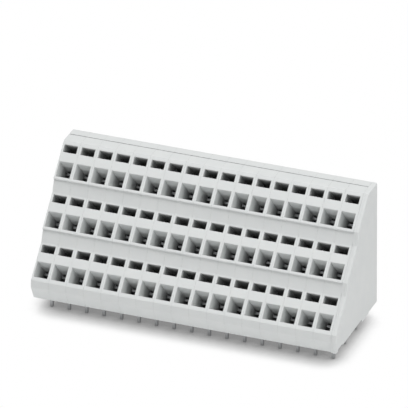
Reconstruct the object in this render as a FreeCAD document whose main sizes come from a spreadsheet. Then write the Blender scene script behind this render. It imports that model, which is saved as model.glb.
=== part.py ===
import FreeCAD, Part
import math
import os

import Sketcher

# A three-level terminal block for a printed circuit board: a row of moulded slices closed by an end cover.
# Every slice carries three spring-cage clamps, one a level, each on a current bar that ends in a solder pin.
# +X runs along the row to the end cover, +Y from the wire side to the back, +Z up from the board.
# The origin is the middle of the solder pin grid, on the board's surface.

doc = FreeCAD.newDocument("terminal_block")
sheet = doc.addObject("Spreadsheet::Sheet", "dims")
AXIS_X = FreeCAD.Vector(1, 0, 0)
AXIS_Z = FreeCAD.Vector(0, 0, 1)
OVERSHOOT = 1.0
RIGHT_ANGLE = 90
LEVELS = 3


class Size:
    """A number together with the formula that ties it to the sheet."""

    def __init__(self, value, formula):
        self.value = value
        self.formula = formula

    def __add__(self, other):
        other = as_size(other)
        return Size(self.value + other.value, "(%s + %s)" % (self.formula, other.formula))

    def __sub__(self, other):
        other = as_size(other)
        return Size(self.value - other.value, "(%s - %s)" % (self.formula, other.formula))

    def __mul__(self, other):
        other = as_size(other)
        return Size(self.value * other.value, "%s * %s" % (self.formula, other.formula))

    def __truediv__(self, other):
        other = as_size(other)
        return Size(self.value / other.value, "%s / %s" % (self.formula, other.formula))

    def __neg__(self):
        return as_size(0) - self

    __radd__ = __add__
    __rmul__ = __mul__


def as_size(number):
    if isinstance(number, Size):
        return number
    return Size(number, "%s" % number)


def sine(angle):
    return Size(math.sin(math.radians(angle.value)), "sin(%s * 1 deg)" % angle.formula)


def cosine(angle):
    return Size(math.cos(math.radians(angle.value)), "cos(%s * 1 deg)" % angle.formula)


def cell(alias, number):
    """Write one driving dimension into the next row of the sheet."""
    cell.row += 1
    sheet.set("A%d" % cell.row, alias.replace("_", " "))
    sheet.set("B%d" % cell.row, str(number))
    sheet.setAlias("B%d" % cell.row, alias)
    return Size(number, "dims." + alias)


cell.row = 0

# The row and its slices
columns = 17
pitch = cell("pitch", 5.08)
seam_gap = cell("seam_gap", 0.02)
side_wall = cell("side_wall", 0.9)

# The stepped wire side, seen from the end of the row
base_depth = cell("base_depth", 29.9)
step_depth = cell("step_depth", 8.45)
step_height = cell("step_height", 11.1)
face_slope = cell("face_slope", 45)
slot_from_toe = cell("slot_from_toe", 4.75)
slot_above_board = cell("slot_above_board", 12.85)
land_above_slot = cell("land_above_slot", 2.2)
wall_foot_above_slot = cell("wall_foot_above_slot", 1.85)
land_below_entry = cell("land_below_entry", 0.65)
front_land_below_entry = cell("front_land_below_entry", 1.1)
lip_height = cell("lip_height", 0.3)
lip_depth = cell("lip_depth", 0.4)
nose_lean = cell("nose_lean", 0.14)
nose_above_board = cell("nose_above_board", 4.2)
groove_from_back = cell("groove_from_back", 2.85)
groove_width = cell("groove_width", 0.25)
groove_depth = cell("groove_depth", 0.5)

# Actuation slots and wire entries
slot_width = cell("slot_width", 3.88)
slot_height = cell("slot_height", 2.2)
entry_width = cell("entry_width", 4.05)
entry_height = cell("entry_height", 4.4)
entry_below_slot = cell("entry_below_slot", 5.97)
entry_taper = cell("entry_taper", 8.3)
entry_roof_taper = cell("entry_roof_taper", 11)
tunnel_depth = cell("tunnel_depth", 5.5)
rib_right = cell("rib_right", 0.63)

# Contact chambers
chamber_depth = cell("chamber_depth", 4.1)
chamber_back_cut = cell("chamber_back_cut", 2.4)
chamber_floor_drop = cell("chamber_floor_drop", 2.9)
chamber_floor_cut = cell("chamber_floor_cut", 1.7)
fit_clearance = cell("fit_clearance", 0.05)

# Current bars and solder pins
bar_thickness = cell("bar_thickness", 0.8)
blade_length = cell("blade_length", 2.6)
blade_width = cell("blade_width", 2.65)
blade_above_axis = cell("blade_above_axis", 1.2)
arm_width = cell("arm_width", 1.0)
arm_behind_leg = cell("arm_behind_leg", 0.175)
pin_width = cell("pin_width", 0.9)
pin_length = cell("pin_length", 4.0)
pin_from_toe = cell("pin_from_toe", 3.7)
row_spacing = cell("row_spacing", 8.45)
pin_from_left = cell("pin_from_left", 3.73)
pin_point = cell("pin_point", 0.2)

# Spring-cage clamps
strip_thickness = cell("strip_thickness", 0.35)
strip_play = cell("strip_play", 0.22)
leg_behind_tunnel = cell("leg_behind_tunnel", 0.7)
leg_end_above_axis = cell("leg_end_above_axis", 0.1)
window_sill = cell("window_sill", 0.65)
window_head = cell("window_head", 0.6)
loop_width = cell("loop_width", 2.8)
loop_height = cell("loop_height", 3.5)
loop_corner = cell("loop_corner", 0.9)
shoulder_height = cell("shoulder_height", 1.4)
foot_reach = cell("foot_reach", 1.6)

# Feet, latching pegs and hollows
foot_height = cell("foot_height", 0.55)
front_notch = cell("front_notch", 2.2)
rear_notch = cell("rear_notch", 3.4)
peg_side = cell("peg_side", 1.6)
peg_length = cell("peg_length", 0.7)
peg_from_face = cell("peg_from_face", 2.2)
peg_above_slot = cell("peg_above_slot", 3.2)
peg_above_board = cell("peg_above_board", 21.7)
core_wall = cell("core_wall", 1.1)

# End cover
rim_thickness = cell("rim_thickness", 0.9)
spigot_thickness = cell("spigot_thickness", 0.6)
spigot_inset = cell("spigot_inset", 0.12)
rim_chamfer = cell("rim_chamfer", 0.2)
cover_lift = cell("cover_lift", 0.9)
cover_rear_lift = cell("cover_rear_lift", 0.35)
cover_toe = cell("cover_toe", 1.5)
cover_notch = cell("cover_notch", 3.7)
cover_foot = cell("cover_foot", 5.2)

doc.recompute()

# Directions on a sloping face: up the slope, and straight in through it
rise = sine(face_slope)
run = cosine(face_slope)
inward_turn = face_slope - RIGHT_ANGLE
slice_width = pitch - seam_gap
row_start = -(pitch * ((columns - 1) // 2) + pin_from_left)
pin_row = [pin_from_toe + row_spacing * level for level in range(LEVELS)]
grid_from_toe = pin_row[1]


def slot_centre(level):
    return slot_from_toe + step_depth * level, slot_above_board + step_height * level


def on_face(level, inward, upward):
    """A point given from the wire entry's centre, straight in and up the slope, as depth and height."""
    depth, height = slot_centre(level)
    upward = upward - entry_below_slot
    return depth + inward * rise + upward * run, height - inward * run + upward * rise


def plane_of(body, role):
    return [item for item in body.Origin.OriginFeatures if item.Role == role][0]


def attach(item, body, role, place, turn, axis):
    """Put an item on one of the body's own planes, moved and turned by sizes from the sheet."""
    item.AttachmentSupport = [(plane_of(body, role), "")]
    item.MapMode = "FlatFace"
    place = [as_size(number) for number in place]
    angle = as_size(0) if turn is None else turn
    base = FreeCAD.Vector(*[number.value for number in place])
    item.AttachmentOffset = FreeCAD.Placement(base, FreeCAD.Rotation(axis, angle.value))
    for letter, number in zip("xyz", place):
        item.setExpression("AttachmentOffset.Base." + letter, number.formula)
    if turn is not None:
        item.setExpression("AttachmentOffset.Rotation.Angle", angle.formula)


def new_sketch(body, name, role, place, turn=None, axis=AXIS_Z):
    sketch = body.newObject("Sketcher::SketchObject", name)
    attach(sketch, body, role, place, turn, axis)
    return sketch


def fix_point(sketch, geometry, position, corner):
    """Tie a point of the sketch to its two formulas."""
    for kind, number in zip(("DistanceX", "DistanceY"), corner):
        rule = Sketcher.Constraint(kind, -1, 1, geometry, position, number.value)
        index = sketch.addConstraint(rule)
        sketch.setExpression("Constraints[%d]" % index, number.formula)


def draw_path(sketch, corners, closed=False):
    """Straight lines from corner to corner, each corner tied to its formulas."""
    corners = [(as_size(across), as_size(up)) for across, up in corners]
    points = [FreeCAD.Vector(across.value, up.value, 0) for across, up in corners]
    ends = points[1:] + points[:1] if closed else points[1:]
    first = sketch.GeometryCount
    last = first + len(ends) - 1
    sketch.addGeometry([Part.LineSegment(start, end) for start, end in zip(points, ends)], False)
    for line in range(first, last):
        sketch.addConstraint(Sketcher.Constraint("Coincident", line, 2, line + 1, 1))
    if closed:
        sketch.addConstraint(Sketcher.Constraint("Coincident", last, 2, first, 1))
    else:
        fix_point(sketch, last, 2, corners.pop())
    for line, corner in enumerate(corners, first):
        fix_point(sketch, line, 1, corner)


def draw_outline(sketch, corners):
    draw_path(sketch, corners, closed=True)


def draw_box(sketch, left, low, right, high):
    draw_outline(sketch, [(left, low), (right, low), (right, high), (left, high)])


def pad(body, sketch, length):
    feature = body.newObject("PartDesign::Pad", sketch.Name + "_pad")
    feature.Profile = sketch
    feature.setExpression("Length", as_size(length).formula)
    doc.recompute()


def work_out_cut(feature):
    """Recompute a cut and see that it takes something away."""
    before = feature.BaseFeature.Shape.Volume
    doc.recompute()
    if not feature.Shape.Volume < before:
        raise RuntimeError(feature.Name + " cuts nothing")


def pocket(body, sketch, length=None, forward=False):
    """Cut a sketch into the body, to a depth or right through, against or along the sketch's normal."""
    feature = body.newObject("PartDesign::Pocket", sketch.Name + "_pocket")
    feature.Profile = sketch
    feature.Reversed = forward
    if length is None:
        feature.Type = "ThroughAll"
    else:
        feature.setExpression("Length", as_size(length).formula)
    work_out_cut(feature)
    return feature


def cut_funnel(body, name, place, mouth, throat, depth):
    """Cut a flat-walled funnel into a sloping face; mouth and throat are left, low, right and high."""
    feature = body.newObject("PartDesign::SubtractiveWedge", name)
    attach(feature, body, "XY_Plane", (0, *place), inward_turn, AXIS_X)
    sides = ("Xmin", "Zmin", "Xmax", "Zmax", "X2min", "Z2min", "X2max", "Z2max", "Ymax")
    for side, number in zip(sides, (*mouth, *throat, depth)):
        feature.setExpression(side, number.formula)
    work_out_cut(feature)


def pipe(body, section, path):
    feature = body.newObject("PartDesign::AdditivePipe", section.Name + "_pipe")
    feature.Profile = section
    feature.Spine = (path, ["Edge%d" % (i + 1) for i in range(len(path.Shape.Edges))])
    feature.Transition = "Right corner"
    doc.recompute()


def new_body(name):
    body = doc.addObject("PartDesign::Body", name)
    body.Label = name
    return body


def set_place(item, x=0, y=0, z=0, turn=None):
    """Move an object, and turn it about the row's axis, by sizes from the sheet."""
    place = [as_size(number) for number in (x, y, z)]
    angle = as_size(0) if turn is None else turn
    base = FreeCAD.Vector(*[number.value for number in place])
    item.Placement = FreeCAD.Placement(base, FreeCAD.Rotation(AXIS_X, angle.value))
    for letter, number in zip("xyz", place):
        item.setExpression("Placement.Base." + letter, number.formula)
    if turn is not None:
        item.setExpression("Placement.Rotation.Angle", angle.formula)


# Outline seen from the right end: from the toe back under the base, up the back and down the steps
top = slot_centre(LEVELS - 1)[1] + land_above_slot * rise
entry_edge = entry_height / 2
chin = on_face(0, 0, -(entry_edge + front_land_below_entry))
nose = (chin[0] - nose_lean, nose_above_board)


def base_corners():
    """A slice's underside, with a notch for the solder joints at the front and the rear pin row."""
    corners = [(0, 0)]
    for row, width in ((pin_row[0], front_notch), (pin_row[-1], rear_notch)):
        corners += [(row - width / 2, 0), (row - width / 2, foot_height)]
        corners += [(row + width / 2, foot_height), (row + width / 2, 0)]
    return corners + [(base_depth, 0), (base_depth, top)]


def step_corners(inset, with_lip):
    """The steps from the top edge down to the nose, set back by the inset."""
    corners = []
    for level in reversed(range(LEVELS)):
        depth, height = slot_centre(level)
        above = land_above_slot if level == LEVELS - 1 else wall_foot_above_slot
        corners.append((depth + above * run + inset, height + above * rise))
        if level > 0:
            edge = on_face(level, 0, -(entry_edge + land_below_entry))
            corners.append((edge[0] + inset, edge[1]))
            if with_lip:
                corners.append((edge[0] + inset, edge[1] - lip_height))
                corners.append((edge[0] + inset + lip_depth, edge[1] - lip_height))
    return corners + [(chin[0] + inset, chin[1]), (nose[0] + inset, nose[1])]


# Housing slice: a moulded block with a closed left wall, its chambers open to the right
housing = new_body("housing_01")
profile = new_sketch(housing, "slice_profile", "YZ_Plane", (0, 0, 0))
groove_centre = base_depth - groove_from_back
groove = [
    (groove_centre + groove_width / 2, top),
    (groove_centre + groove_width / 2, top - groove_depth),
    (groove_centre - groove_width / 2, top - groove_depth),
    (groove_centre - groove_width / 2, top),
]
draw_outline(profile, base_corners() + groove + step_corners(as_size(0), True))
pad(housing, profile, slice_width)

tunnel_right = slice_width - rib_right
slot_low = entry_below_slot - slot_height / 2
slot_high = entry_below_slot + slot_height / 2
chamber_end = tunnel_depth + chamber_depth
opening_depth = tunnel_depth + fit_clearance
narrowing = opening_depth * sine(entry_taper) / cosine(entry_taper)
roof_drop = opening_depth * sine(entry_roof_taper) / cosine(entry_roof_taper)
entry_mouth = [tunnel_right - entry_width, -entry_edge, tunnel_right, entry_edge]
entry_throat = [entry_mouth[0] + narrowing, entry_mouth[1] + narrowing,
                entry_mouth[2] - narrowing, entry_mouth[3] - roof_drop]
for level in range(LEVELS):
    mouth = on_face(level, as_size(0), as_size(0))
    chamber = new_sketch(housing, "chamber_%d" % level, "YZ_Plane", (*mouth, side_wall), inward_turn)
    draw_outline(chamber, [
        (tunnel_depth, slot_high),
        (chamber_end - chamber_back_cut, slot_high),
        (chamber_end, slot_high - chamber_back_cut),
        (chamber_end, chamber_floor_cut - chamber_floor_drop),
        (chamber_end - chamber_floor_cut, -chamber_floor_drop),
        (tunnel_depth, -chamber_floor_drop),
    ])
    pocket(housing, chamber, forward=True)
    slot = new_sketch(housing, "slot_%d" % level, "XY_Plane", (0, *mouth), face_slope, AXIS_X)
    draw_box(slot, tunnel_right - slot_width, slot_low, tunnel_right, slot_high)
    pocket(housing, slot, opening_depth)
    cut_funnel(housing, "entry_%d" % level, mouth, entry_mouth, entry_throat, opening_depth)

# Pin channels follow the arm of each current bar from its chamber down through the base
pin_left = pin_from_left - bar_thickness / 2
leg_middle = tunnel_depth + leg_behind_tunnel
arm_front = leg_middle + strip_thickness / 2 + arm_behind_leg
arm_back = arm_front + arm_width
arm_top = blade_above_axis + bar_thickness / 2
half_pin = pin_width / 2
half_channel = half_pin + fit_clearance


def elbow(level, inward, depth):
    """Where an edge of the arm, that far in from the face, meets an upright edge at that depth."""
    mouth = on_face(level, as_size(0), as_size(0))
    upward = (depth - mouth[0] - inward * rise) / run
    return depth, mouth[1] - inward * run + upward * rise


channels = new_sketch(housing, "pin_channels", "YZ_Plane", (0, 0, pin_left - fit_clearance))
for level, row in enumerate(pin_row):
    draw_outline(channels, [
        on_face(level, arm_front - fit_clearance, arm_top),
        on_face(level, arm_back + fit_clearance, arm_top),
        elbow(level, arm_back + fit_clearance, row + half_channel),
        (row + half_channel, -OVERSHOOT),
        (row - half_channel, -OVERSHOOT),
        elbow(level, arm_front - fit_clearance, row - half_channel),
    ])
pocket(housing, channels, forward=True)

# Hollows keep the thick parts of the moulding at wall thickness
cores = new_sketch(housing, "cores", "YZ_Plane", (0, 0, side_wall))
floor = foot_height + core_wall
middle_floor = on_face(1, chamber_end, chamber_floor_cut - chamber_floor_drop)[1]
rear_core = (pin_row[2] + half_channel + core_wall, base_depth - core_wall)
draw_box(cores, pin_row[1] + half_channel + core_wall, floor, pin_row[2] - half_channel - core_wall,
         middle_floor - core_wall)
draw_box(cores, rear_core[0], floor, rear_core[1], peg_above_board - peg_side / 2 - core_wall)
pocket(housing, cores, forward=True)

# Latching pegs on the right seat in sockets in the left wall of the next slice
peg_centres = [
    on_face(1, peg_from_face, entry_below_slot + peg_above_slot),
    ((rear_core[0] + rear_core[1]) / 2, peg_above_board),
]


def draw_pegs(sketch, clearance):
    half = peg_side / 2 + clearance
    for depth, height in peg_centres:
        draw_box(sketch, depth - half, height - half, depth + half, height + half)


pegs = new_sketch(housing, "pegs", "YZ_Plane", (0, 0, slice_width))
draw_pegs(pegs, as_size(0))
pad(housing, pegs, peg_length)
sockets = new_sketch(housing, "sockets", "YZ_Plane", (0, 0, 0))
draw_pegs(sockets, fit_clearance)
pocket(housing, sockets, peg_length + fit_clearance, forward=True)

# Current bar: an arm stamped from sheet, with a blade folded over the wire and a solder pin below
blade_low = blade_above_axis
blade_high = blade_low + bar_thickness
blade_start = tunnel_depth + fit_clearance * 2
blade_right = pin_left + bar_thickness
blade_left = blade_right - blade_width
bars = []
for level, height_name in enumerate(("lower", "middle", "upper")):
    bar = new_body("current_bar_" + height_name)
    row = pin_row[level]
    arm = new_sketch(bar, "arm_" + height_name, "YZ_Plane", (0, 0, pin_left))
    draw_outline(arm, [
        on_face(level, arm_front, arm_top),
        on_face(level, arm_back, arm_top),
        elbow(level, arm_back, row + half_pin),
        (row + half_pin, pin_point - pin_length),
        (row + half_pin - pin_point, -pin_length),
        (row - half_pin + pin_point, -pin_length),
        (row - half_pin, pin_point - pin_length),
        elbow(level, arm_front, row - half_pin),
    ])
    pad(bar, arm, bar_thickness)
    mouth = on_face(level, as_size(0), as_size(0))
    blade = new_sketch(bar, "blade_" + height_name, "YZ_Plane", (*mouth, blade_left), inward_turn)
    draw_box(blade, blade_start, blade_low, blade_start + blade_length, blade_high)
    pad(bar, blade, blade_width)
    bars.append(bar)

# Spring clamp: one strip of spring steel, with a window round the blade and a loop that stands on it
spring = new_body("clamp_spring")
loop_top = blade_high + loop_height
loop_back = leg_middle + loop_width
strip_left = side_wall + strip_play
strip_width = slice_width - strip_play - strip_left
spring_path = new_sketch(spring, "spring_path", "YZ_Plane", (0, 0, strip_left + strip_width / 2))
draw_path(spring_path, [
    (leg_middle, leg_end_above_axis),
    (leg_middle, loop_top - loop_corner),
    (leg_middle + loop_corner, loop_top),
    (loop_back - loop_corner, loop_top),
    (loop_back, loop_top - loop_corner),
    (loop_back, blade_high + shoulder_height),
    (loop_back - foot_reach, blade_high + strip_thickness / 2),
])
strip_section = new_sketch(spring, "strip_section", "XY_Plane", (0, 0, leg_end_above_axis))
draw_box(strip_section, strip_left, leg_middle - strip_thickness / 2, strip_left + strip_width,
         leg_middle + strip_thickness / 2)
doc.recompute()
pipe(spring, strip_section, spring_path)
window = new_sketch(spring, "window", "XZ_Plane", (0, 0, strip_thickness - leg_middle))
draw_box(window, blade_left - fit_clearance * 2, leg_end_above_axis + window_sill,
         blade_right + fit_clearance * 2, blade_high + window_head)
pocket(spring, window, strip_thickness * 2)

# End cover: a plate with the slices' steps and back, on a thinner spigot that is set back along the steps
cover = new_body("end_cover")


def cover_base(inset):
    """The cover's underside, which is clear of the board but for a foot beside the rear pin row."""
    front = nose[0] + inset
    notch_front = front + cover_toe
    foot_front = pin_row[-1] - cover_foot / 2
    foot_back = pin_row[-1] + cover_foot / 2
    return [
        (front, cover_lift),
        (notch_front, cover_lift),
        (notch_front, cover_lift + foot_height),
        (notch_front + cover_notch, cover_lift + foot_height),
        (notch_front + cover_notch, cover_lift),
        (foot_front, cover_lift),
        (foot_front, 0),
        (foot_back, 0),
        (foot_back, cover_rear_lift),
        (base_depth, cover_rear_lift),
        (base_depth, top),
    ]


rim = new_sketch(cover, "rim_outline", "YZ_Plane", (0, 0, spigot_thickness))
draw_outline(rim, cover_base(as_size(0)) + step_corners(as_size(0), False))
pad(cover, rim, rim_thickness)
spigot = new_sketch(cover, "spigot_outline", "YZ_Plane", (0, 0, 0))
draw_outline(spigot, cover_base(spigot_inset) + step_corners(spigot_inset, False))
pad(cover, spigot, spigot_thickness)
cover_sockets = new_sketch(cover, "cover_sockets", "YZ_Plane", (0, 0, 0))
draw_pegs(cover_sockets, fit_clearance)
plate = pocket(cover, cover_sockets, peg_length + fit_clearance, forward=True)
outer_face = max(plate.Shape.Faces, key=lambda face: face.CenterOfMass.x)
rim_edges = []
for number, edge in enumerate(plate.Shape.Edges, 1):
    above_base = edge.CenterOfMass.z > nose_above_board.value / 2
    if above_base and any(edge.isSame(rim_edge) for rim_edge in outer_face.Edges):
        rim_edges.append("Edge%d" % number)
bevel = cover.newObject("PartDesign::Chamfer", "rim_bevel")
bevel.Base = (plate, rim_edges)
bevel.setExpression("Size", rim_chamfer.formula)
doc.recompute()

# The row: the first column's pieces, then a copy of each one pitch further along
bar_set = doc.addObject("Part::Compound", "current_bars_01")
bar_set.Links = bars
springs = []
for level, height_name in enumerate(("lower", "middle", "upper")):
    copy = doc.addObject("App::Link", "clamp_spring_" + height_name)
    copy.LinkedObject = spring
    set_place(copy, 0, *on_face(level, as_size(0), as_size(0)), turn=inward_turn)
    springs.append(copy)
spring_set = doc.addObject("Part::Compound", "clamp_springs_01")
spring_set.Links = springs

nodes = []
for first, name in ((housing, "housing"), (bar_set, "current_bars"), (spring_set, "clamp_springs")):
    for column in range(columns):
        node = first
        if column > 0:
            node = doc.addObject("App::Link", "%s_%02d" % (name, column + 1))
            node.LinkedObject = first
        node.Label = "%s_%02d" % (name, column + 1)
        set_place(node, row_start + pitch * column, -grid_from_toe)
        nodes.append(node)
set_place(cover, row_start + pitch * columns, -grid_from_toe)
nodes.append(cover)
doc.recompute()

# Check every object before any file is written
for item in doc.Objects:
    if "Invalid" in item.State or "Error" in item.State:
        raise RuntimeError("%s failed: %s" % (item.Name, item.State))
os.makedirs("parts", exist_ok=True)
shapes = [(node.Label, Part.getShape(node)) for node in nodes]
for label, shape in shapes:
    if shape.isNull() or not shape.isValid():
        raise RuntimeError("%s has no valid shape" % label)
for label, shape in shapes:
    shape.exportStep(os.path.join("parts", label + ".step"))
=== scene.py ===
import math

import bmesh
import bpy
from mathutils import Matrix, Vector


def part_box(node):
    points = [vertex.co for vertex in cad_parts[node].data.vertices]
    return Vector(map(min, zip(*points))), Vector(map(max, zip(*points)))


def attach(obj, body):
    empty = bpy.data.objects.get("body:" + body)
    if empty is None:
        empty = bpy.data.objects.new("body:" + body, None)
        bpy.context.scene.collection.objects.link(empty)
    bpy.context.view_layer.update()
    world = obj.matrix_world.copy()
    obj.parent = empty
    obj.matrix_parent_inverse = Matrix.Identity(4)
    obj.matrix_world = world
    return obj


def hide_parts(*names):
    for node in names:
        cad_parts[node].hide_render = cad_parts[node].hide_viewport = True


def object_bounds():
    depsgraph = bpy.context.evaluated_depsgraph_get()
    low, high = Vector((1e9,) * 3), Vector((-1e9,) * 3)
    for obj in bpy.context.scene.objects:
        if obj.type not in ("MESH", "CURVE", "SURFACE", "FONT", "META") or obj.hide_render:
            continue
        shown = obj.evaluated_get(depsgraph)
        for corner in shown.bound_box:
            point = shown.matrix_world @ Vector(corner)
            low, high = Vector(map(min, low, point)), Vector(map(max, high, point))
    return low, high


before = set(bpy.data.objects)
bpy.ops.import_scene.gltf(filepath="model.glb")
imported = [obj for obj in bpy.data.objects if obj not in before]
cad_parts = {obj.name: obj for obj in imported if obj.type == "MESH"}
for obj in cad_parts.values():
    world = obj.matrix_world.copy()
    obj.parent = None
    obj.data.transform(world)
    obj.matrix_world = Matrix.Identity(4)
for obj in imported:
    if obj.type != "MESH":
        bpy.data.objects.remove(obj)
cad_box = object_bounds()


# Current bars: tin-plated copper sheet, stamped and folded, three to a column. Each has a blade that the wire
# is pressed against, an arm through the chamber and a solder pin, with edges slightly rounded by the press.
MILLIMETRE = 0.001
COLUMNS = 17
COLUMN_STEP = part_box("housing_02")[0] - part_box("housing_01")[0]
MERGE_WITHIN = 0.001 * MILLIMETRE
FLAT_WITHIN = math.radians(0.5)
SHARP_ANGLE = math.radians(25)
SMOOTH_ANGLE = math.radians(50)
FACE_AREA_ONLY = 100
ROUND_STEPS = 2
STAMPED_RADIUS = 0.06 * MILLIMETRE


def merged_copy(node, name):
    """A piece in the form of a CAD node, its loose triangles merged and joined where they lie flat."""
    piece = bpy.data.objects.new(name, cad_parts[node].data.copy())
    bpy.context.scene.collection.objects.link(piece)
    bpy.ops.object.select_all(action="DESELECT")
    bpy.context.view_layer.objects.active = piece
    piece.select_set(True)
    piece.data.materials.clear()
    bpy.ops.mesh.customdata_custom_splitnormals_clear()
    bpy.ops.object.mode_set(mode="EDIT")
    bpy.ops.mesh.select_mode(type="EDGE")
    bpy.ops.mesh.select_all(action="SELECT")
    bpy.ops.mesh.remove_doubles(threshold=MERGE_WITHIN)
    bpy.ops.mesh.dissolve_limited(angle_limit=FLAT_WITHIN)
    bpy.ops.object.mode_set(mode="OBJECT")
    return piece


def round_edges(piece, radius, steps, chosen):
    """Bevel the sharp edges of a piece that the test picks, and keep its flat faces flat."""
    bpy.ops.object.mode_set(mode="EDIT")
    bpy.ops.mesh.select_all(action="DESELECT")
    for edge in bmesh.from_edit_mesh(piece.data).edges:
        edge.select_set(edge.calc_face_angle(0) > SHARP_ANGLE and chosen(edge))
    bpy.ops.mesh.bevel(offset=radius, segments=steps, affect="EDGES", clamp_overlap=False, loop_slide=False)
    bpy.ops.mesh.select_all(action="DESELECT")
    for edge in bmesh.from_edit_mesh(piece.data).edges:
        edge.select_set(edge.calc_face_angle(0) > SMOOTH_ANGLE)
    bpy.ops.mesh.mark_sharp()
    bpy.ops.object.mode_set(mode="OBJECT")
    bpy.ops.object.shade_smooth()
    weighted = piece.modifiers.new("flat_faces_stay_flat", "WEIGHTED_NORMAL")
    weighted.weight = FACE_AREA_ONLY
    weighted.keep_sharp = True
    bpy.ops.object.modifier_apply(modifier=weighted.name)


def repeat_along_row(first, name):
    """Copy the first column's piece along the row, and let each stand for its own CAD node."""
    for column in range(COLUMNS):
        piece = first
        if column > 0:
            piece = bpy.data.objects.new("%s_piece_%02d" % (name, column + 1), first.data.copy())
            bpy.context.scene.collection.objects.link(piece)
            piece.data.transform(Matrix.Translation(COLUMN_STEP * column))
        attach(piece, "root")
        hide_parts("%s_%02d" % (name, column + 1))


def linear(hex_colour):
    """An sRGB hex colour as linear red, green, blue and alpha."""
    parts = [int(hex_colour[i:i + 2], 16) / 255 for i in (1, 3, 5)]
    return (*[part / 12.92 if part <= 0.04045 else ((part + 0.055) / 1.055) ** 2.4 for part in parts], 1.0)


def add_node(tree, kind, inputs, **settings):
    """Add a node with its settings, and give each input a value or the output of another node."""
    node = tree.nodes.new(kind)
    for name, value in settings.items():
        setattr(node, name, value)
    for name, value in inputs.items():
        if isinstance(value, bpy.types.NodeSocket):
            tree.links.new(value, node.inputs[name])
        else:
            node.inputs[name].default_value = value
    return node


def per_metre(size):
    """The texture scale at which a noise or wave pattern repeats about once in that size."""
    return 1 / size


# Tin plate: dull silvery, with a faint cloudiness from the plating bath over the rolled sheet's fine lines
tin_plate = bpy.data.materials.new("tin_plate_on_copper")
tin_plate.use_nodes = True
tree = tin_plate.node_tree
tin = tree.nodes["Principled BSDF"]
place = add_node(tree, "ShaderNodeTexCoord", {}).outputs["Object"]
cloud = add_node(tree, "ShaderNodeTexNoise", {
    "Vector": place, "Scale": per_metre(0.9 * MILLIMETRE), "Detail": 3.0})
tint = add_node(tree, "ShaderNodeMixRGB", {
    "Fac": cloud.outputs["Fac"], "Color1": linear("#A2A4A5"), "Color2": linear("#C0C2C3")})
gloss = add_node(tree, "ShaderNodeMapRange", {
    "Value": cloud.outputs["Fac"], "To Min": 0.24, "To Max": 0.42})
drawn = add_node(tree, "ShaderNodeMapping", {"Vector": place, "Scale": (1.0, 1.0, 0.06)})
rolled = add_node(tree, "ShaderNodeTexNoise", {
    "Vector": drawn.outputs["Vector"], "Scale": per_metre(0.12 * MILLIMETRE), "Detail": 2.0})
bump = add_node(tree, "ShaderNodeBump", {
    "Height": rolled.outputs["Fac"], "Strength": 0.12, "Distance": 0.02 * MILLIMETRE})
tin.inputs["Metallic"].default_value = 1.0
tree.links.new(tint.outputs["Color"], tin.inputs["Base Color"])
tree.links.new(gloss.outputs["Result"], tin.inputs["Roughness"])
tree.links.new(bump.outputs["Normal"], tin.inputs["Normal"])

bars = merged_copy("current_bars_01", "current_bars_piece_01")
round_edges(bars, STAMPED_RADIUS, ROUND_STEPS, lambda edge: True)
bars.data.materials.append(tin_plate)
repeat_along_row(bars, "current_bars")


# Spring-cage clamps: one strip of stainless spring steel each, cut with a window and bent into a loop. The
# window passes over the blade, and the loop stands on it and pulls the strip's lower end up against the wire.
BEND_ROOM = 0.38 * MILLIMETRE
BEND_STEPS = 4
BEND_LENGTH = 3.0 * MILLIMETRE
CUT_EDGE_ANGLE = math.radians(80)

spring_steel = bpy.data.materials.new("stainless_spring_steel")
spring_steel.use_nodes = True
tree = spring_steel.node_tree
steel = tree.nodes["Principled BSDF"]
place = add_node(tree, "ShaderNodeTexCoord", {}).outputs["Object"]
# Rolled strip: bright, with fine lines that run round the loop, so along the row the pattern is much finer
drawn = add_node(tree, "ShaderNodeMapping", {"Vector": place, "Scale": (1.0, 0.05, 0.05)})
rolled = add_node(tree, "ShaderNodeTexNoise", {
    "Vector": drawn.outputs["Vector"], "Scale": per_metre(0.15 * MILLIMETRE), "Detail": 3.0})
tint = add_node(tree, "ShaderNodeMixRGB", {
    "Fac": rolled.outputs["Fac"], "Color1": linear("#C4C6C7"), "Color2": linear("#E2E4E5")})
gloss = add_node(tree, "ShaderNodeMapRange", {
    "Value": rolled.outputs["Fac"], "To Min": 0.36, "To Max": 0.54})
bump = add_node(tree, "ShaderNodeBump", {
    "Height": rolled.outputs["Fac"], "Strength": 0.1, "Distance": 0.02 * MILLIMETRE})
steel.inputs["Metallic"].default_value = 1.0
tree.links.new(tint.outputs["Color"], steel.inputs["Base Color"])
tree.links.new(gloss.outputs["Result"], steel.inputs["Roughness"])
tree.links.new(bump.outputs["Normal"], steel.inputs["Normal"])


def along_row(edge):
    """True for an edge that runs across the strip, along the row of columns."""
    return abs((edge.verts[0].co - edge.verts[1].co).normalized().x) > math.cos(SHARP_ANGLE)


def is_bend(edge):
    """True for an edge where the strip is bent, and not for one where it is cut off."""
    return along_row(edge) and edge.calc_length() > BEND_LENGTH and edge.calc_face_angle() < CUT_EDGE_ANGLE


springs = merged_copy("clamp_springs_01", "clamp_springs_piece_01")
round_edges(springs, BEND_ROOM, BEND_STEPS, is_bend)
springs.data.materials.append(spring_steel)
repeat_along_row(springs, "clamp_springs")


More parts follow.
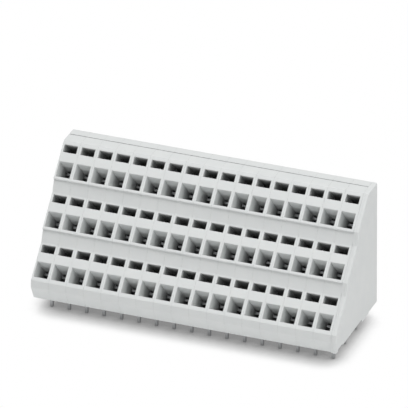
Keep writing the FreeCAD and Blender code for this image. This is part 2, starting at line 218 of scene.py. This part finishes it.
# Housing slices: light grey polyamide, injection moulded, each with a closed left wall and three chambers
# that the next slice closes. Pegs latch them side by side, and their edges have the mould's small radius.
MOULD_RADIUS = 0.1 * MILLIMETRE
WALL_LENGTH = 4.0 * MILLIMETRE
SEAM_WITHIN = 0.01 * MILLIMETRE
WHOLE_WIDTH = 0.9 * COLUMN_STEP.x
SAME_WAY = 0.99
TAPERS_INWARD = 0.98
INWARD = Vector((0, 1, -1)).normalized()
UP_SLOPE = Vector((0, 1, 1)).normalized()
# How far the painted shade in corners and openings looks, where it starts and how dark it gets at the deepest
SHUT_IN_WITHIN = 3.6 * MILLIMETRE
SHUT_IN_BELOW = 0.5
DARKEST_PAINTED_SHADE = 0.05

polyamide = bpy.data.materials.new("moulded_grey_polyamide")
polyamide.use_nodes = True
tree = polyamide.node_tree
plastic = tree.nodes["Principled BSDF"]
place = add_node(tree, "ShaderNodeTexCoord", {}).outputs["Object"]
# Moulded satin surface: a faint mottle from the flow of the melt, and the fine grain of an eroded mould
mottle = add_node(tree, "ShaderNodeTexNoise", {
    "Vector": place, "Scale": per_metre(4.0 * MILLIMETRE), "Detail": 2.0})
tint = add_node(tree, "ShaderNodeMixRGB", {
    "Fac": mottle.outputs["Fac"], "Color1": linear("#D2D5D5"), "Color2": linear("#DADCDB")})
grain = add_node(tree, "ShaderNodeTexNoise", {
    "Vector": place, "Scale": per_metre(0.25 * MILLIMETRE), "Detail": 2.0})
gloss = add_node(tree, "ShaderNodeMapRange", {
    "Value": grain.outputs["Fac"], "To Min": 0.46, "To Max": 0.6})
bump = add_node(tree, "ShaderNodeBump", {
    "Height": grain.outputs["Fac"], "Strength": 0.15, "Distance": 0.01 * MILLIMETRE})
# Painted shade: shut-in corners and the insides of the openings are darkened in the base colour by how shut
# in they are
open_sky = add_node(tree, "ShaderNodeAmbientOcclusion", {"Distance": SHUT_IN_WITHIN}, samples=16)
painted_shade_tone = add_node(tree, "ShaderNodeMapRange", {
    "Value": open_sky.outputs["AO"], "From Max": SHUT_IN_BELOW, "To Min": DARKEST_PAINTED_SHADE})
shade_painted_tint = add_node(tree, "ShaderNodeMixRGB", {
    "Fac": 1.0, "Color1": tint.outputs["Color"], "Color2": painted_shade_tone.outputs["Result"],
}, blend_type="MULTIPLY")
plastic.inputs["IOR"].default_value = 1.53
tree.links.new(shade_painted_tint.outputs["Color"], plastic.inputs["Base Color"])
tree.links.new(gloss.outputs["Result"], plastic.inputs["Roughness"])
tree.links.new(bump.outputs["Normal"], plastic.inputs["Normal"])

first_slice = merged_copy("housing_01", "housing_piece_01")
slice_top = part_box("housing_01")[1].z
top_corners = [vert.co.x for vert in first_slice.data.vertices if slice_top - vert.co.z < SEAM_WITHIN]
slice_sides = (min(top_corners), max(top_corners))
# The faces as wide as the slice make up its outline, and the sloping ones among them hold the openings
outline = []
strip_edges = set()
for face in first_slice.data.polygons:
    corners = [first_slice.data.vertices[i].co for i in face.vertices]
    across = [corner.x for corner in corners]
    if max(across) - min(across) > WHOLE_WIDTH:
        outline.append((face.normal.copy(), face.normal.dot(face.center)))
        if face.normal.dot(-INWARD) > SAME_WAY:
            heights = [corner.dot(UP_SLOPE) for corner in corners]
            strip_edges.update(round(height / SEAM_WITHIN) * SEAM_WITHIN for height in heights)


def in_outline(corners, towards=None):
    """True for corners that all lie in one face of the outline, which faces that way if one is given."""
    return any(all(abs(corner.co.dot(normal) - reach) < SEAM_WITHIN for corner in corners)
               for normal, reach in outline if towards is None or normal.dot(towards) > SAME_WAY)


def is_outer(edge):
    """True for an edge of the outline or of an opening in it, unless it lies against the next slice."""
    along_seam = any(all(abs(vert.co.x - side) < SEAM_WITHIN for vert in edge.verts)
                     for side in slice_sides)
    return in_outline(edge.verts) and not along_seam


def is_opening_corner(edge):
    """True for a long edge where two walls of an opening meet on their way inward."""
    run = edge.verts[0].co - edge.verts[1].co
    return run.length > WALL_LENGTH and abs(run.normalized().dot(INWARD)) > TAPERS_INWARD


# The sloping faces are cut into strips at their openings' edges, so that the rounding meets no slanting cuts
bpy.ops.object.mode_set(mode="EDIT")
for height in sorted(strip_edges):
    bpy.ops.mesh.select_all(action="DESELECT")
    for face in bmesh.from_edit_mesh(first_slice.data).faces:
        if in_outline(face.verts, -INWARD):
            face.select_set(True)
    bpy.ops.mesh.bisect(plane_co=UP_SLOPE * height, plane_no=UP_SLOPE)
    bpy.ops.mesh.mark_seam()
bpy.ops.mesh.select_all(action="SELECT")
bpy.ops.mesh.dissolve_limited(angle_limit=FLAT_WITHIN, delimit={"SEAM"})
bpy.ops.object.mode_set(mode="OBJECT")
round_edges(first_slice, MOULD_RADIUS, ROUND_STEPS, lambda edge: is_outer(edge) or is_opening_corner(edge))
first_slice.data.materials.append(polyamide)
repeat_along_row(first_slice, "housing")


# End cover: a polyamide plate with the slices' steps and back, which closes the chambers of the last slice.
# Its rim stands on a thinner spigot, which leaves a shallow band next to that slice.
RIM_RADIUS = 0.05 * MILLIMETRE

cover = merged_copy("end_cover", "end_cover_piece")
bpy.ops.object.mode_set(mode="EDIT")
bpy.ops.mesh.select_all(action="SELECT")
bpy.ops.mesh.vert_connect_concave()
bpy.ops.object.mode_set(mode="OBJECT")
cover_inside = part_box("end_cover")[0].x


def is_cover_edge(edge):
    """True for an edge clear of the last slice, and for a projecting one that runs up to it."""
    clear = [vert.co.x > cover_inside + SEAM_WITHIN for vert in edge.verts]
    return all(clear) or (any(clear) and edge.is_convex)


round_edges(cover, RIM_RADIUS, ROUND_STEPS, is_cover_edge)
cover.data.materials.append(polyamide)
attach(cover, "root")
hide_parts("end_cover")


# Studio: the block stands on its pins on a plain white floor, under a white sky, with a broad soft lamp
# overhead and two weaker ones in front and at the right. To the eye the floor is white, with a painted soft
# shadow round the block that is darker where it is shut in, and for other light it is plain paper.
FLOOR_HALF = 3.0
SHADOW_REACH = 8.0 * MILLIMETRE
DARKEST_SHADE = 0.25
FULL_SHADE_BELOW = 0.29
NO_SHADE_ABOVE = 0.78
PAPER_WHITE = (0.98, 0.98, 0.98, 1)
SKY_LEVEL = 0.32
# Each lamp's name, place, side in metres and power in watts
LAMPS = (
    ("lamp_overhead", Vector((0, 0, 700)) * MILLIMETRE, 0.5, 3.85),
    ("lamp_front", Vector((0, -500, 60)) * MILLIMETRE, 0.4, 0.42),
    ("lamp_right", Vector((500, 0, 150)) * MILLIMETRE, 0.4, 0.5),
)

bpy.ops.object.select_all(action="DESELECT")
bpy.ops.mesh.primitive_plane_add(size=2 * FLOOR_HALF, location=(0, 0, cad_box[0].z))
floor = bpy.context.active_object
floor.name = "studio_floor"
paper = bpy.data.materials.new("white_paper")
paper.use_nodes = True
tree = paper.node_tree
tree.nodes.remove(tree.nodes["Principled BSDF"])
# Painted shadow: what the eye sees on the floor is emitted, darker the more the block shuts it in
open_sky = add_node(tree, "ShaderNodeAmbientOcclusion", {"Distance": SHADOW_REACH}, samples=16)
shade = add_node(tree, "ShaderNodeMapRange", {
    "Value": open_sky.outputs["AO"], "From Min": FULL_SHADE_BELOW, "From Max": NO_SHADE_ABOVE,
    "To Min": DARKEST_SHADE})
ray = add_node(tree, "ShaderNodeLightPath", {}).outputs
seen_or_mirrored = add_node(tree, "ShaderNodeMath", {
    0: ray["Is Camera Ray"], 1: ray["Is Glossy Ray"]}, operation="MAXIMUM")
seen = add_node(tree, "ShaderNodeMath", {
    0: seen_or_mirrored.outputs["Value"], 1: ray["Is Transmission Ray"]}, operation="MAXIMUM")
lit = add_node(tree, "ShaderNodeBsdfDiffuse", {"Color": PAPER_WHITE})
shown = add_node(tree, "ShaderNodeEmission", {"Color": shade.outputs["Result"], "Strength": 1.0})
sheet = add_node(tree, "ShaderNodeMixShader", {
    "Fac": seen.outputs["Value"], 1: lit.outputs["BSDF"], 2: shown.outputs["Emission"]})
tree.links.new(sheet.outputs["Shader"], tree.nodes["Material Output"].inputs["Surface"])
floor.data.materials.append(paper)

sky = bpy.data.worlds.new("white_sky")
bpy.context.scene.world = sky
sky.use_nodes = True
sky.node_tree.nodes["Background"].inputs["Color"].default_value = (1, 1, 1, 1)
sky.node_tree.nodes["Background"].inputs["Strength"].default_value = SKY_LEVEL

for name, stand, size, power in LAMPS:
    lamp = bpy.data.objects.new(name, bpy.data.lights.new(name, "AREA"))
    lamp.data.size = size
    lamp.data.energy = power
    lamp.matrix_world = Matrix.Translation(stand) @ stand.to_track_quat("Z", "Y").to_matrix().to_4x4()
    bpy.context.scene.collection.objects.link(lamp)


# Camera: a long lens two metres away, from the front right and above, so that the columns hardly get smaller
# along the row. It aims near the upper middle of the block and is rolled very slightly.
AZIMUTH = math.radians(21.48)
ELEVATION = math.radians(28.64)
ROLL = math.radians(-0.53)
DISTANCE = 2.010
AIM = Vector((-1.268, 4.589, 28.368)) * MILLIMETRE
PICTURE_PIXELS = 408
FOCAL_PIXELS = 7485
SENSOR_WIDTH = 36
CLIP_END = 10.0

camera = bpy.data.objects.new("camera", bpy.data.cameras.new("camera"))
bpy.context.scene.collection.objects.link(camera)
camera.data.sensor_width = SENSOR_WIDTH
camera.data.lens = SENSOR_WIDTH * FOCAL_PIXELS / PICTURE_PIXELS
camera.data.clip_end = CLIP_END
around = Matrix.Rotation(AZIMUTH, 4, "Z")
upward = Matrix.Rotation(math.pi / 2 - ELEVATION, 4, "X")
rolled_over = Matrix.Rotation(ROLL, 4, "Z")
back_off = Matrix.Translation((0, 0, DISTANCE))
camera.matrix_world = Matrix.Translation(AIM) @ around @ upward @ rolled_over @ back_off
bpy.context.scene.camera = camera
bpy.context.scene.view_settings.view_transform = "Standard"
